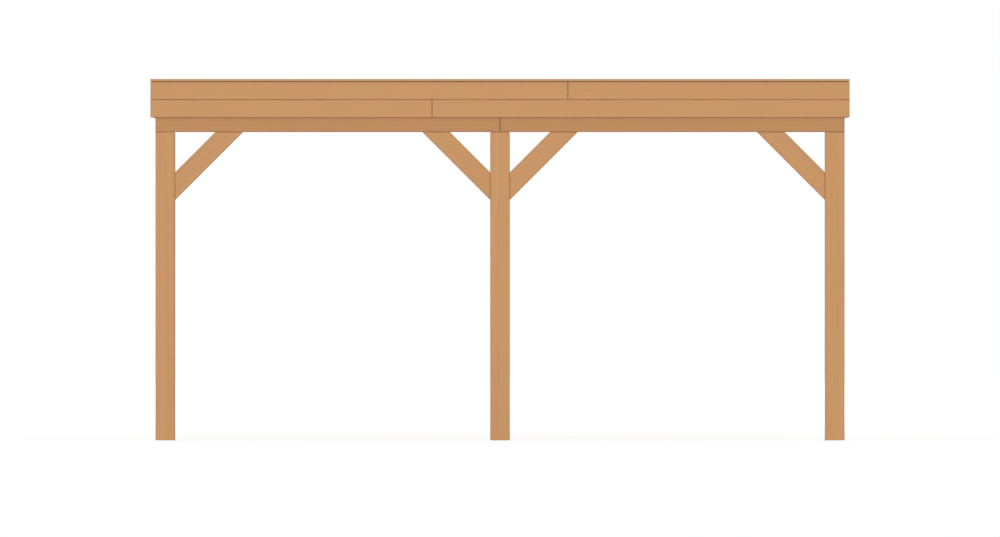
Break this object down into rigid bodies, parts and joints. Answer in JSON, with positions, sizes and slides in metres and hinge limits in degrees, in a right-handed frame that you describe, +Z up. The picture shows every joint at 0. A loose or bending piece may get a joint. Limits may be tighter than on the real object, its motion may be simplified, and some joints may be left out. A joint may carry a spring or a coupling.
{
  "type": "attached patio cover",
  "caption": "Flat-roofed timber patio cover that fixes to a house wall, with braced front posts, a roof frame to a slight fall and a plain board fascia.",
  "frame": {"origin": "centre of the wall beam's back face, on the plane of the house wall", "axes": "+X to the right along the wall, seen from the garden; +Y into the wall; +Z up"},
  "size_m": [5.004, 3.014, 2.584],
  "materials": {
    "frame_timber": "planed, oiled",
    "fascia_timber": "planed, oiled",
    "deck_boards": "planed, bare",
    "roof_membrane": "matt, slightly creased",
    "wall_bar": "mill finish",
    "outlet": "moulded, matt"
  },
  "bodies": {
    "root": {"post_left": "frame_timber", "post_middle": "frame_timber", "post_right": "frame_timber", "front_beam_left": "frame_timber", "front_beam_right": "frame_timber", "side_beam_left": "frame_timber", "side_beam_right": "frame_timber", "wall_beam_left": "frame_timber", "wall_beam_right": "frame_timber", "brace_left": "frame_timber", "brace_middle_left": "frame_timber", "brace_middle_right": "frame_timber", "brace_right": "frame_timber", "side_brace_left": "frame_timber", "side_brace_right": "frame_timber", "rafter_1": "frame_timber", "rafter_2": "frame_timber", "rafter_3": "frame_timber", "rafter_4": "frame_timber", "rafter_5": "frame_timber", "rafter_6": "frame_timber", "rafter_7": "frame_timber", "rafter_8": "frame_timber", "rafter_9": "frame_timber", "end_rafter_left": "frame_timber", "end_rafter_right": "frame_timber", "fascia_front_upper_left": "fascia_timber", "fascia_front_upper_right": "fascia_timber", "fascia_front_lower_left": "fascia_timber", "fascia_front_lower_right": "fascia_timber", "fascia_left_upper": "fascia_timber", "fascia_left_lower": "fascia_timber", "fascia_right_upper": "fascia_timber", "fascia_right_lower": "fascia_timber", "capping_front_left": "fascia_timber", "capping_front_right": "fascia_timber", "capping_left": "fascia_timber", "capping_right": "fascia_timber", "roof_deck": "deck_boards", "upstand_front": "deck_boards", "upstand_left": "deck_boards", "upstand_right": "deck_boards", "roof_membrane": "roof_membrane", "wall_bar": "wall_bar", "roof_outlet": "outlet"}
  },
  "joints": []
}
